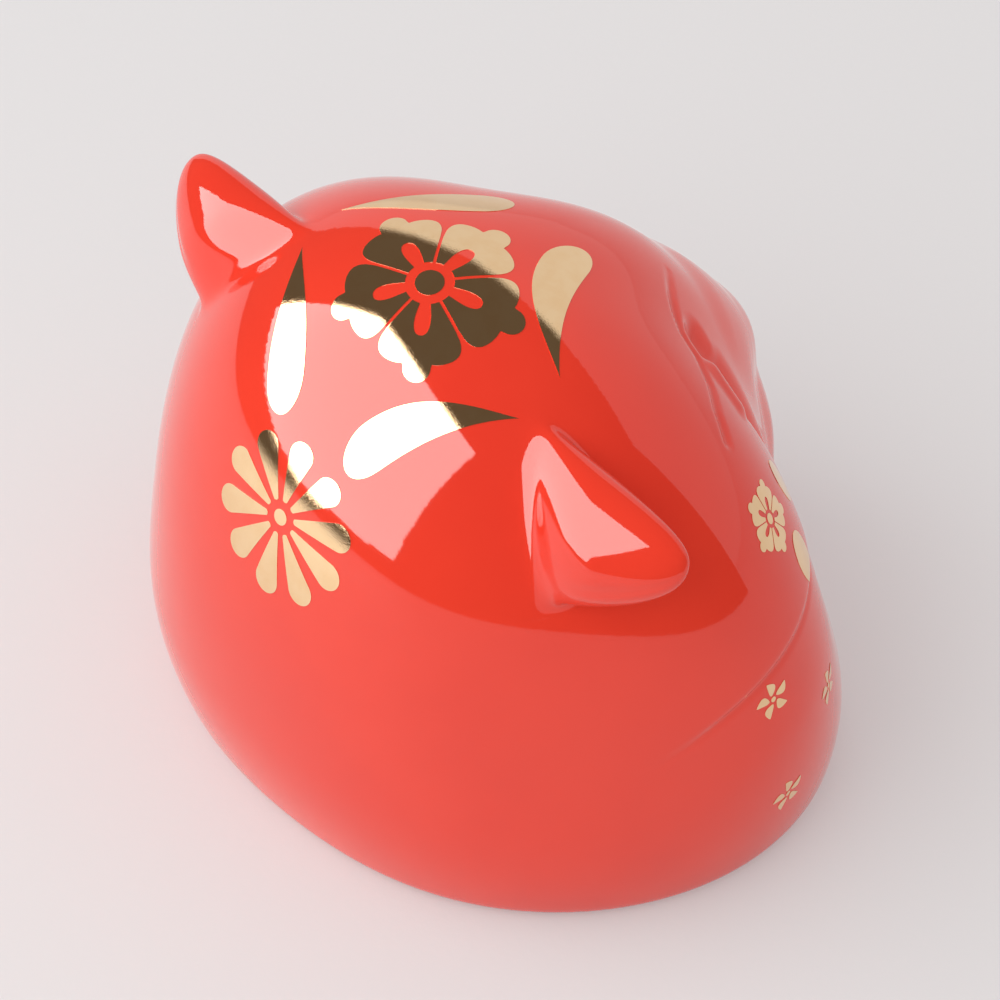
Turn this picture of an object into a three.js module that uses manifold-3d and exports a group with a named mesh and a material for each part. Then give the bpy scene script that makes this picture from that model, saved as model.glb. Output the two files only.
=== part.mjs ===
// Porcelain tiger figurine: a hollow slip-cast body, two luted ears and fired gold ornaments.
// Millimetres, +Z up. The tiger faces -Y, its left side is +X, and it stands on z = 0.
import * as THREE from 'three';
import { mergeVertices } from 'three/addons/utils/BufferGeometryUtils.js';
import Module from 'manifold-3d';

const wasm = await Module();
wasm.setup();

// Driving dimensions of the dome that makes head and body.
const domeHalfLength = 44;
const domeHalfWidth = 52.4;
const domeHeight = 81.5;
const beltHeight = 20;        // height of the widest section
const crownSetback = 9.3;     // how far the crown lies behind the belt's middle
const cheekPinchLow = 3;      // how far the front corners are drawn in at the foot
const cheekPinchHigh = 12;    // and at the cheeks
const pinchFoot = 2;          // heights between which the pinch grows
const pinchCheek = 34;
const rumpSwell = 0.5;        // how far the rear corners stand out

// Casting: wall, foot and pour hole.
const wallThickness = 4;
const footRounding = 3;
const footTrim = 0.5;         // depth ground off to make the foot flat
const pourHoleDiameter = 18;

// Face relief. Each form has its place across, its height and its depth behind the dome's front.
const browDip = { across: 1.5, height: 58, depth: 0, rise: -1, spread: 9 };
const browSwell = { across: 10, height: 72, depth: 0, rise: 0.3, spread: 10 };
const cheekDip = { across: 12.4, height: 39.6, depth: 0, rise: -1.2, spread: 5 };
const chopDip = { across: 14.5, height: 22, depth: 0, rise: -1.2, spread: 8 };
const bridgeTop = { across: 0, height: 48, depth: 10.6 };
const bridgeTip = { across: 0, height: 41, depth: 8.2 };
const bridgeRadius = 6.6;
const bridgeFlatness = 1.5;   // width of the nose bridge over its depth
const bridgeBlend = 6;
const eyeTop = { across: 18.6, height: 63.4, depth: -2.4 };
const eyeTip = { across: 25, height: 58, depth: -2.5 };
const eyeRadius = 3.2;
const eyeBlend = 1.6;
const furrowTop = { across: 22.5, height: 58, depth: -2 };
const furrowTip = { across: 27, height: 47, depth: -2.4 };
const furrowRadius = 3.6;
const furrowBlend = 2.5;
const puff = { across: 6.8, height: 29.6, depth: 11.6 };
const puffRadii = [10, 8, 7.2];
const puffBlend = 4;
const chin = { across: 0, height: 14, depth: 6.6 };
const chinRadii = [7, 6.4, 6];
const chinBlend = 3;
const nose = { across: 0, height: 39.6, depth: 5.5 };
const noseRadii = [7.4, 6.4, 4.6];
const noseBlend = 4;

// Ears: the root runs down the side of the head, and the tip points out and a little forward.
const earRootInner = [24.54, 12.52, 74.13];
const earRootOuter = [35.41, 19.04, 56.84];
const earTip = [47.41, 13.02, 69.57];
const earHalfThickness = 6;
const earSetBack = 1.55;      // how far the root's middle lies behind its line
const earCurl = -2.4;         // how far the tip lies forward of the root's middle
const earLean = 0.69;         // how far the outer end of a section lies behind its middle
const earTaper = 0.49;        // roundness of the outline
const earArch = 0.2;          // fullness of the lower edge
const earNeck = 0.5;          // share of the thickness that the root lacks
const earNeckStart = -0.25;   // shares of the length between which the thickness grows
const earNeckEnd = 0.42;
const earSquareness = 1.9;
const earCup = [6.2, 2, -5.4];  // middle of the hollow front: out, down and back from the root
const earCupRadii = [7, 7.5, 3.6];
const earRootDepth = 6;       // how far the loft runs into the head before it is cut
const earPairPivot = [0, 14, 65];
const earPairTwist = -2.17;   // the pair sits a little askew on the head, in degrees
const earPairRoll = 0.11;

// Fired gold ornaments.
const filmThickness = 0.3;
const slipGap = 0.3;          // clearance between a seated piece and the body
const blossomPlace = [0.4, 12.2, 81.4];
const blossomRadius = 13.5;
const blossomPetals = 5;
const blossomCentreRadius = 1.9;
const blossomEyeRadius = 3.2; // inner end of the petals
const blossomSlotReach = 0.55; // share of the radius that the slot in a petal reaches
const blossomStretch = 0.1;   // how much longer the blossom is drawn along a diagonal
const blossomStretchWay = [0.72, -0.69, 0];
const petalGap = 0.5;         // bare line between neighbouring petals
const leftFrontTip = [21.6, 8.3, 76];
const leftFrontEnd = [6.6, -9, 75.9];
const leftFrontBow = -1.5;
const rightFrontTip = [-20, 9.5, 76.8];
const rightFrontEnd = [-4.8, -9.4, 76.1];
const rightFrontBow = 3;
const leftRearTip = [20.7, 15.3, 75.3];
const leftRearEnd = [5.3, 32.9, 68];
const leftRearBow = 1.1;
const rightRearTip = [-20.3, 16, 75.3];
const rightRearEnd = [-5.7, 33.7, 66.6];
const rightRearBow = -1.6;
const stripes = [
  { name: 'left_front', tip: leftFrontTip, end: leftFrontEnd, bow: leftFrontBow },
  { name: 'right_front', tip: rightFrontTip, end: rightFrontEnd, bow: rightFrontBow },
  { name: 'left_rear', tip: leftRearTip, end: leftRearEnd, bow: leftRearBow },
  { name: 'right_rear', tip: rightRearTip, end: rightRearEnd, bow: rightRearBow },
];
const stripeWidth = 6.4;
const stripeSlimness = 1.2;   // how late a stripe swells from its tip
const stripeWidest = 0.81;    // share of a stripe's length where its round end starts
const rosettePlace = [0.5, 38.3, 57.4];
const rosetteRadius = 11.8;
const rosettePetals = 10;
const rosetteHeart = 2.3;     // inner ends of the petals
const rosettePetalStart = 0.35; // half width at the inner end
const rosettePetalSlope = 0.223;
const rosettePetalEnd = 1.98; // radius of the round outer end
const rosetteCentreRadius = 1.1;
const cheekBlossomPlace = [40.4, -8.5, 53.8];
const cheekBlossomRadius = 5.2;
const cheekBlossomTurn = 0.42; // how far it is turned towards the back, in radians
const upperOvalPlace = [34.4, -16.9, 49.9];
const upperOvalLength = 7.6;
const upperOvalWidth = 4.4;
const lowerOvalPlace = [42.2, -13.3, 44.3];
const lowerOvalLength = 8.4;
const lowerOvalWidth = 5.4;
const cheekOvals = [
  { name: 'upper', place: upperOvalPlace, length: upperOvalLength, width: upperOvalWidth },
  { name: 'lower', place: lowerOvalPlace, length: lowerOvalLength, width: lowerOvalWidth },
];
const sprigRadius = 2.9;
const shoulderSprigPlace = [51, 0.4, 34.3];
const frontSprigPlace = [48.8, -12.2, 25.2];
const footSprigPlace = [52.1, -1.8, 14.6];
const sprigPlaces = [
  { name: 'shoulder', place: shoulderSprigPlace },
  { name: 'front', place: frontSprigPlace },
  { name: 'foot', place: footSprigPlace },
];

// Facets of the solids.
const bodyFacets = { around: 88, above: 28, edge: 6, below: 4 };
const cavityFacets = { around: 40, above: 10, edge: 2, below: 2 };
const footBand = 0.1;         // latitudes about the foot's edge that have closer rings
const earSides = 24;
const earStations = 13;
const cupFacets = { around: 20, above: 12 };

// Soft joins of two signed distances.
function softUnion(a, b, blend) {
  const h = Math.max(blend - Math.abs(a - b), 0) / blend;
  return Math.min(a, b) - h * h * blend / 4;
}

function softCut(a, b, blend) {
  return -softUnion(-a, b, blend);
}

function ramp(from, to, value) {
  const t = THREE.MathUtils.clamp((value - from) / (to - from), 0, 1);
  return t * t * (3 - 2 * t);
}

// Radius of the dome's plan at an angle from the front, drawn in at the cheeks.
function planRadius(angle, height, fullness) {
  const mean = (domeHalfLength + domeHalfWidth) / 2;
  const oval = (domeHalfLength - domeHalfWidth) / 2;
  const pinch = cheekPinchLow + (cheekPinchHigh - cheekPinchLow) * ramp(pinchFoot, pinchCheek, height);
  const front = (1 + Math.cos(angle)) / 2;
  const corner = Math.sin(2 * angle) ** 2 * fullness;
  return mean + oval * Math.cos(2 * angle) - corner * (pinch * front - rumpSwell * (1 - front));
}

// Distance from the dome's skin along the line to the middle of its belt, negative inside.
function domeDistance(x, y, z) {
  const rise = (z - beltHeight) / (domeHeight - beltHeight);
  const back = y - crownSetback * rise * Math.abs(rise);
  const fullness = Math.sqrt(Math.max(1 - rise * rise, 0));
  const radius = planRadius(Math.atan2(x, -back), z, fullness);
  const across = Math.hypot(x, back);
  const share = Math.hypot(across / radius, rise);
  const reach = Math.hypot(across, z - beltHeight);
  return reach * (1 - 1 / Math.max(share, 1e-4));
}

// Point at a depth behind the dome's front, straight ahead of the given place.
function onFront({ across, height, depth }) {
  let outside = -2 * domeHalfLength;
  let inside = 0;
  for (let i = 0; i < 40; i += 1) {
    const middle = (outside + inside) / 2;
    if (domeDistance(across, middle, height) > 0) outside = middle;
    else inside = middle;
  }
  return new THREE.Vector3(across, inside + depth, height);
}

const bridgeTopPoint = onFront(bridgeTop);
const bridgeTipPoint = onFront(bridgeTip);
const eyeTopPoint = onFront(eyeTop);
const eyeTipPoint = onFront(eyeTip);
const furrowTopPoint = onFront(furrowTop);
const furrowTipPoint = onFront(furrowTip);
const puffPoint = onFront(puff);
const chinPoint = onFront(chin);
const nosePoint = onFront(nose);
const swells = [browDip, browSwell, cheekDip, chopDip].map((swell) => ({ ...swell, point: onFront(swell) }));

function capsuleDistance(x, y, z, a, b, radius, flatness) {
  const px = x / flatness - a.x;
  const py = y - a.y;
  const pz = z - a.z;
  const dx = b.x - a.x;
  const dy = b.y - a.y;
  const dz = b.z - a.z;
  const t = (px * dx + py * dy + pz * dz) / (dx * dx + dy * dy + dz * dz);
  const along = THREE.MathUtils.clamp(t, 0, 1);
  return Math.hypot(px - along * dx, py - along * dy, pz - along * dz) - radius;
}

function ellipsoidDistance(x, y, z, centre, radii) {
  const px = x - centre.x;
  const py = y - centre.y;
  const pz = z - centre.z;
  const share = Math.hypot(px / radii[0], py / radii[1], pz / radii[2]);
  return Math.hypot(px, py, pz) * (1 - 1 / Math.max(share, 1e-4));
}

// Distance from the whole body's skin: the dome with its nose bridge, furrows, eyes, muzzle and chin.
function bodyDistance(x, y, z) {
  const side = Math.abs(x);
  let d = domeDistance(side, y, z);
  for (const { point, rise, spread } of swells) {
    const away = Math.hypot(side - point.x, y - point.y, z - point.z);
    d -= rise * Math.exp(-((away / spread) ** 2));
  }
  const bridge = capsuleDistance(side, y, z, bridgeTopPoint, bridgeTipPoint, bridgeRadius, bridgeFlatness);
  d = softUnion(d, bridge, bridgeBlend);
  const furrow = capsuleDistance(side, y, z, furrowTopPoint, furrowTipPoint, furrowRadius, 1);
  d = softCut(d, furrow, furrowBlend);
  const eye = capsuleDistance(side, y, z, eyeTopPoint, eyeTipPoint, eyeRadius, 1);
  d = softCut(d, eye, eyeBlend);
  d = softUnion(d, ellipsoidDistance(side, y, z, chinPoint, chinRadii), chinBlend);
  d = softUnion(d, ellipsoidDistance(side, y, z, puffPoint, puffRadii), puffBlend);
  d = softUnion(d, ellipsoidDistance(side, y, z, nosePoint, noseRadii), noseBlend);
  return softCut(d, z + footTrim, footRounding);
}

// The skin is seen whole from this point inside the body.
const heart = new THREE.Vector3(0, 0, beltHeight);
const farReach = 2 * Math.max(domeHalfLength, domeHalfWidth, domeHeight);
const marchSteps = 80;
const halvings = 30;

// Point where a line from the heart leaves the surface at the given distance from a skin.
function leavePoint(direction, distance, level) {
  const at = (t) => distance(
    heart.x + t * direction.x, heart.y + t * direction.y, heart.z + t * direction.z) - level;
  let outside = farReach;
  let inside = outside;
  for (let i = marchSteps - 1; i >= 0 && at(inside) > 0; i -= 1) {
    outside = inside;
    inside = farReach * i / marchSteps;
  }
  for (let i = 0; i < halvings; i += 1) {
    const middle = (outside + inside) / 2;
    if (at(middle) > 0) outside = middle;
    else inside = middle;
  }
  return heart.clone().addScaledVector(direction, inside);
}

// Point on the body's skin seen from the heart through a given place.
function onSkin(place) {
  return leavePoint(place.clone().sub(heart).normalize(), bodyDistance, 0);
}

const probe = 0.2;

function skinNormal(p) {
  const slope = (dx, dy, dz) => bodyDistance(p.x + dx, p.y + dy, p.z + dz)
    - bodyDistance(p.x - dx, p.y - dy, p.z - dz);
  return new THREE.Vector3(slope(probe, 0, 0), slope(0, probe, 0), slope(0, 0, probe)).normalize();
}

// Geometry from triangles of points, welded, without the ones that a tip squeezes flat.
function weld(triangles) {
  const loose = new THREE.BufferGeometry().setFromPoints(triangles.flat());
  const geometry = mergeVertices(loose, 1e-4);
  const corners = geometry.index.array;
  const kept = [];
  for (let i = 0; i < corners.length; i += 3) {
    const [a, b, c] = corners.slice(i, i + 3);
    if (a !== b && b !== c && c !== a) kept.push(a, b, c);
  }
  geometry.setIndex(kept);
  geometry.computeVertexNormals();
  return geometry;
}

function quad(a, b, c, d) {
  return [[a, b, c], [a, c, d]];
}

// Closed surface at a level of a distance, in rings about the upright axis through the heart.
// A ring at one latitude keeps to one height of the dome, so the foot's edge is a single ring.
function blownGeometry(facets, distance, level) {
  const rise = domeHeight - beltHeight;
  const edge = -Math.asin(beltHeight / rise);
  const latitudes = [];
  for (let i = 0; i < facets.above; i += 1) {
    latitudes.push(Math.PI / 2 + (edge + footBand - Math.PI / 2) * i / facets.above);
  }
  for (let i = 0; i < facets.edge; i += 1) {
    latitudes.push(edge + footBand - 2 * footBand * i / facets.edge);
  }
  for (let i = 0; i <= facets.below; i += 1) {
    latitudes.push(edge - footBand - (Math.PI / 2 + edge - footBand) * i / facets.below);
  }
  const rings = latitudes.map((latitude) => {
    const ring = [];
    for (let j = 0; j < facets.around; j += 1) {
      const turn = 2 * Math.PI * j / facets.around;
      const across = planRadius(turn, beltHeight, 1) * Math.cos(latitude);
      const direction = new THREE.Vector3(
        across * Math.sin(turn), -across * Math.cos(turn), rise * Math.sin(latitude)).normalize();
      ring.push(leavePoint(direction, distance, level));
    }
    return ring;
  });
  const triangles = [];
  for (let i = 0; i + 1 < rings.length; i += 1) {
    for (let j = 0; j < facets.around; j += 1) {
      const k = (j + 1) % facets.around;
      const corners = [rings[i][j], rings[i + 1][j], rings[i + 1][k], rings[i][k]];
      const first = j < facets.around / 2 ? 0 : 1;
      triangles.push(...quad(...corners.slice(first), ...corners.slice(0, first)));
    }
  }
  return weld(triangles);
}

// Conversion to and from solids that can be cut.
function toSolid(geometry) {
  const bare = geometry.clone();
  for (const name of Object.keys(bare.attributes)) {
    if (name !== 'position') bare.deleteAttribute(name);
  }
  const merged = mergeVertices(bare);
  return new wasm.Manifold(new wasm.Mesh({
    numProp: 3,
    vertProperties: Float32Array.from(merged.attributes.position.array),
    triVerts: Uint32Array.from(merged.index.array),
  }));
}

function fromSolid(solid) {
  const mesh = solid.getMesh();
  const geometry = new THREE.BufferGeometry();
  geometry.setAttribute('position', new THREE.BufferAttribute(Float32Array.from(mesh.vertProperties), 3));
  geometry.setIndex(new THREE.BufferAttribute(Uint32Array.from(mesh.triVerts), 1));
  geometry.computeVertexNormals();
  return geometry;
}

// Red glaze over white porcelain, and fired gold.
const glazeLook = { color: 0xd8261b, roughness: 0.08, metalness: 0 };
const goldLook = { color: 0xc79a4e, roughness: 0.28, metalness: 1 };
const tiger = new THREE.Group();

function addPiece(name, geometry, look) {
  const mesh = new THREE.Mesh(geometry, new THREE.MeshStandardMaterial(look));
  mesh.name = name;
  tiger.add(mesh);
}

// Body shell: the skin, ground flat at the foot, hollow inside, open at the pour hole.
function cavityDistance(x, y, z) {
  return softCut(bodyDistance(x, y, z) + wallThickness, z - wallThickness, footRounding);
}

function bodyShell() {
  const skin = toSolid(blownGeometry(bodyFacets, bodyDistance, 0));
  const cavity = toSolid(blownGeometry(cavityFacets, cavityDistance, 0));
  const ground = new THREE.BoxGeometry(2 * farReach, 2 * farReach, 2 * wallThickness);
  ground.translate(0, 0, -wallThickness);
  const pourHole = new THREE.CylinderGeometry(
    pourHoleDiameter / 2, pourHoleDiameter / 2, 4 * wallThickness, 32);
  pourHole.rotateX(Math.PI / 2);
  return fromSolid(skin.subtract(toSolid(ground)).subtract(cavity).subtract(toSolid(pourHole)));
}

// Left ear: a leaf with a full back and a cupped front, lofted from its root to its tip.
function earLeaf() {
  const inner = new THREE.Vector3(...earRootInner);
  const outer = new THREE.Vector3(...earRootOuter);
  const root = inner.clone().add(outer).multiplyScalar(0.5);
  const down = outer.clone().sub(inner).normalize();
  const halfRoot = inner.distanceTo(outer) / 2;
  const reach = new THREE.Vector3(...earTip).sub(root);
  const tipDrop = reach.dot(down);
  const out = reach.clone().projectOnPlane(down).normalize();
  const length = reach.dot(out);
  const back = out.clone().cross(down);
  const from = (a, b, c) => root.clone()
    .addScaledVector(out, a)
    .addScaledVector(down, b)
    .addScaledVector(back, c);
  const rounded = (value) => Math.sign(value) * Math.abs(value) ** (2 / earSquareness);
  const ring = (rise) => {
    const rest = Math.max(1 - rise, 0);
    const slim = rest ** earTaper;
    const middle = tipDrop * rise + (rise > 0 ? halfRoot * earArch * (slim - rest) : 0);
    const thick = earHalfThickness * (1 - earNeck * (1 - ramp(earNeckStart, earNeckEnd, rise)));
    const sway = earSetBack + earCurl * rise * Math.abs(rise);
    const points = [];
    for (let i = 0; i < earSides; i += 1) {
      const turn = 2 * Math.PI * i / earSides;
      const across = middle + halfRoot * slim * rounded(Math.cos(turn));
      const behind = sway + earLean * across / halfRoot * rest + thick * slim * rounded(Math.sin(turn));
      points.push(from(length * rise, across, behind));
    }
    return points;
  };
  const first = -earRootDepth / length;
  const rings = [];
  for (let i = 0; i < earStations; i += 1) {
    const turn = Math.PI / 2 * i / (earStations - 1);
    rings.push(ring(first + (1 - first) * Math.sin(turn)));
  }
  const base = new THREE.Vector3();
  rings[0].forEach((p) => base.addScaledVector(p, 1 / earSides));
  const triangles = [];
  for (let j = 0; j < earSides; j += 1) {
    const k = (j + 1) % earSides;
    triangles.push([base, rings[0][k], rings[0][j]]);
    for (let i = 0; i + 1 < earStations; i += 1) {
      triangles.push(...quad(rings[i][j], rings[i][k], rings[i + 1][k], rings[i + 1][j]));
    }
  }
  const cup = new THREE.SphereGeometry(1, cupFacets.around, cupFacets.above);
  cup.scale(...earCupRadii);
  cup.applyMatrix4(new THREE.Matrix4().makeBasis(out, down, back).setPosition(from(...earCup)));
  return toSolid(weld(triangles)).subtract(toSolid(cup));
}

// The pair of ears is turned on the head as one, then each is cut to sit on it with a slip joint.
function earPair() {
  const leaf = earLeaf();
  const head = toSolid(blownGeometry(bodyFacets, bodyDistance, slipGap));
  return [leaf, leaf.mirror([1, 0, 0])].map((one) => one
    .translate(earPairPivot.map((value) => -value))
    .rotate([0, -earPairRoll, earPairTwist])
    .translate(earPairPivot)
    .subtract(head));
}

// Gold films. A film's place is a point of the skin with a direction on it, its shape a grid of
// flat points about that place, and its solid lies one slip gap above the skin.
function placeOn(position, towards) {
  const origin = onSkin(new THREE.Vector3(...position));
  const normal = skinNormal(origin);
  const along = towards.clone().projectOnPlane(normal).normalize();
  return { origin, along, aside: normal.clone().cross(along) };
}

// The same place with its flat lengths drawn out along one direction.
function stretched({ origin, along, aside }, towards, share) {
  const way = new THREE.Vector3(...towards).normalize();
  const drawn = (v) => v.clone().addScaledVector(way, share * v.dot(way));
  return { origin, along: drawn(along), aside: drawn(aside) };
}

function film(place, grid, wraps) {
  const { origin, along, aside } = place;
  const lifted = (height) => grid.map((row) => row.map(([a, b]) => {
    const flat = origin.clone().addScaledVector(along, a).addScaledVector(aside, b);
    const p = onSkin(flat);
    return p.addScaledVector(skinNormal(p), height);
  }));
  const low = lifted(slipGap);
  const high = lifted(slipGap + filmThickness);
  const rows = grid.length;
  const columns = grid[0].length;
  const cells = wraps ? columns : columns - 1;
  const triangles = [];
  for (let i = 0; i + 1 < rows; i += 1) {
    for (let j = 0; j < cells; j += 1) {
      const k = (j + 1) % columns;
      triangles.push(...quad(high[i][j], high[i + 1][j], high[i + 1][k], high[i][k]));
      triangles.push(...quad(low[i][k], low[i + 1][k], low[i + 1][j], low[i][j]));
    }
    if (!wraps) {
      const last = columns - 1;
      triangles.push(...quad(low[i][0], low[i + 1][0], high[i + 1][0], high[i][0]));
      triangles.push(...quad(high[i][last], high[i + 1][last], low[i + 1][last], low[i][last]));
    }
  }
  for (let j = 0; j < cells; j += 1) {
    const k = (j + 1) % columns;
    const end = rows - 1;
    if (!wraps) triangles.push(...quad(high[0][j], high[0][k], low[0][k], low[0][j]));
    triangles.push(...quad(low[end][j], low[end][k], high[end][k], high[end][j]));
  }
  return weld(triangles);
}

// Grid of a leaf along the place's direction: its half width is a function of the way along it.
function leafGrid(start, length, halfWidth, bow = () => 0, rows = 9, columns = 3) {
  const grid = [];
  for (let i = 0; i < rows; i += 1) {
    const way = (1 - Math.cos(Math.PI * i / (rows - 1))) / 2;
    const row = [];
    for (let j = 0; j < columns; j += 1) {
      const side = 2 * j / (columns - 1) - 1;
      row.push([start + length * way, bow(way) + side * halfWidth(way)]);
    }
    grid.push(row);
  }
  return grid;
}

function roundGrid(radius, rings = 3, sides = 12) {
  const grid = [];
  for (let i = 0; i < rings; i += 1) {
    const row = [];
    for (let j = 0; j < sides; j += 1) {
      const turn = 2 * Math.PI * j / sides;
      const r = radius(turn) * i / (rings - 1);
      row.push([r * Math.cos(turn), r * Math.sin(turn)]);
    }
    grid.push(row);
  }
  return grid;
}

function turned(grid, angle) {
  const c = Math.cos(angle);
  const s = Math.sin(angle);
  return grid.map((row) => row.map(([a, b]) => [a * c - b * s, a * s + b * c]));
}

const mirrored = ([x, y, z], side) => [side * x, y, z];
const sides = [{ name: 'left', sign: 1 }, { name: 'right', sign: -1 }];
const forward = new THREE.Vector3(0, -1, 0);
const upward = new THREE.Vector3(0, 0, 1);

// Outline of a blossom petal by its angle from its own middle: two shoulders and a small tip lobe.
function petalEdge(angle, radius, halfAngle) {
  const share = Math.abs(angle) / halfAngle;
  const shoulder = 0.84 * Math.sqrt(Math.max(1 - share ** 6, 0)) * (1 - 0.06 * (1 - share));
  const lobe = 1 - 2.6 * share * share;
  return radius * Math.max(shoulder, lobe, 0.55);
}

function blossomPetalGrid(radius, inner, gap, count) {
  const pitch = Math.PI / count;
  const columns = 13;
  const rows = 4;
  const grid = [];
  for (let i = 0; i < rows; i += 1) {
    const row = [];
    for (let j = 0; j < columns; j += 1) {
      const share = 2 * j / (columns - 1) - 1;
      const edge = petalEdge(share * pitch, radius, pitch);
      const slot = inner + (blossomSlotReach * radius - inner) * Math.max(1 - (share / 0.42) ** 4, 0);
      const r = slot + (edge - slot) * i / (rows - 1);
      const angle = share * (pitch - gap / 2 / r);
      row.push([r * Math.cos(angle), r * Math.sin(angle)]);
    }
    grid.push(row);
  }
  return grid;
}

// Comma stripe: a pointed tip that swells to a round end.
function stripeGeometry({ tip, end, bow }) {
  const from = onSkin(new THREE.Vector3(...tip));
  const to = onSkin(new THREE.Vector3(...end));
  const middle = from.clone().add(to).multiplyScalar(0.5);
  const place = placeOn(middle.toArray(), to.clone().sub(from));
  const length = from.distanceTo(to);
  const half = (way) => {
    const taper = Math.sin(Math.PI / 2 * Math.min(way / stripeWidest, 1)) ** stripeSlimness;
    const late = Math.max(way - stripeWidest, 0) / (1 - stripeWidest);
    return stripeWidth / 2 * Math.min(taper, Math.sqrt(Math.max(1 - late * late, 0)));
  };
  const curve = (way) => bow * Math.sin(Math.PI * way);
  return film(place, leafGrid(-length / 2, length, half, curve, 13));
}

// Rosette petal: straight sides that spread from the heart to a round end.
function rosettePetalHalf(way) {
  const reach = rosetteHeart + (rosetteRadius - rosetteHeart) * way;
  const straight = rosettePetalStart + rosettePetalSlope * (reach - rosetteHeart);
  const beyond = reach - rosetteRadius + rosettePetalEnd;
  const round = Math.sqrt(Math.max(rosettePetalEnd ** 2 - beyond ** 2, 0));
  const leaning = Math.sin(Math.atan(rosettePetalSlope));
  const half = beyond < -rosettePetalEnd * leaning ? straight : round;
  return Math.min(half, Math.sqrt(Math.max(reach - rosetteHeart, 0)));
}

function buildTiger() {
  addPiece('body_shell', bodyShell(), glazeLook);
  const [leftEar, rightEar] = earPair();
  addPiece('left_ear', fromSolid(leftEar), glazeLook);
  addPiece('right_ear', fromSolid(rightEar), glazeLook);

  const blossom = stretched(placeOn(blossomPlace, forward), blossomStretchWay, blossomStretch);
  const petalGrid = blossomPetalGrid(blossomRadius, blossomEyeRadius, petalGap, blossomPetals);
  for (let i = 0; i < blossomPetals; i += 1) {
    const petal = turned(petalGrid, 2 * Math.PI * i / blossomPetals);
    addPiece(`forehead_petal_${i + 1}`, film(blossom, petal, false), goldLook);
  }
  addPiece('forehead_centre', film(blossom, roundGrid(() => blossomCentreRadius), true), goldLook);

  const rosette = placeOn(rosettePlace, upward);
  const petalLength = rosetteRadius - rosetteHeart;
  const rosettePetal = leafGrid(rosetteHeart, petalLength, rosettePetalHalf, () => 0, 11);
  for (let i = 0; i < rosettePetals; i += 1) {
    const petal = turned(rosettePetal, 2 * Math.PI * i / rosettePetals);
    addPiece(`nape_petal_${i + 1}`, film(rosette, petal, false), goldLook);
  }
  addPiece('nape_centre', film(rosette, roundGrid(() => rosetteCentreRadius), true), goldLook);

  for (const stripe of stripes) {
    addPiece(`${stripe.name}_stripe`, stripeGeometry(stripe), goldLook);
  }

  for (const { name, sign } of sides) {
    const cheek = placeOn(mirrored(cheekBlossomPlace, sign), upward);
    const lobes = (turn) => cheekBlossomRadius * (0.78
      + 0.22 * Math.cos(blossomPetals * (turn + sign * cheekBlossomTurn)));
    addPiece(`${name}_cheek_blossom`, film(cheek, roundGrid(lobes, 4, 30), true), goldLook);

    for (const oval of cheekOvals) {
      const place = placeOn(mirrored(oval.place, sign), upward);
      const half = (way) => oval.width * Math.sqrt(way * (1 - way));
      const grid = leafGrid(-oval.length / 2, oval.length, half);
      addPiece(`${name}_${oval.name}_cheek_spot`, film(place, grid, false), goldLook);
    }

    for (const sprig of sprigPlaces) {
      const place = placeOn(mirrored(sprig.place, sign), upward);
      const petals = (turn) => sprigRadius * (0.62 + 0.38 * Math.cos(blossomPetals * turn));
      addPiece(`${name}_${sprig.name}_sprig`, film(place, roundGrid(petals, 3, 30), true), goldLook);
    }
  }
}

buildTiger();

// The origin is the middle of the foot's bounding box.
const box = new THREE.Box3().setFromObject(tiger);
tiger.position.set(-(box.min.x + box.max.x) / 2, -(box.min.y + box.max.y) / 2, -box.min.z);
tiger.updateMatrixWorld(true);

export default tiger;
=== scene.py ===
import math
import bpy
import numpy as np
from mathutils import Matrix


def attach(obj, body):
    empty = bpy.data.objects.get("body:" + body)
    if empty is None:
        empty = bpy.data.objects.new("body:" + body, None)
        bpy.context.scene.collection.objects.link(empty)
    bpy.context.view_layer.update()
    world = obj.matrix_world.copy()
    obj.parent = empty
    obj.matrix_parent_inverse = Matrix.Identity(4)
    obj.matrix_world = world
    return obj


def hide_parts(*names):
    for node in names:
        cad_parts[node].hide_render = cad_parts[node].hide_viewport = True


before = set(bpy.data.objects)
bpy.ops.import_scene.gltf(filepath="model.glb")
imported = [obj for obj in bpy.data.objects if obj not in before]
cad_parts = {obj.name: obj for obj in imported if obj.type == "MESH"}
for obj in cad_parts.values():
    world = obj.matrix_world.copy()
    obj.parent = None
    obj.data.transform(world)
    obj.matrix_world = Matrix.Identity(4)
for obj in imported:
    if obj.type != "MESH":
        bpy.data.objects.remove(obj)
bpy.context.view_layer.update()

mm = 0.001
bpy.context.scene.view_settings.view_transform = "Standard"
print("frame loaded:", len(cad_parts), "nodes")


# shader maths on sockets

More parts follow.
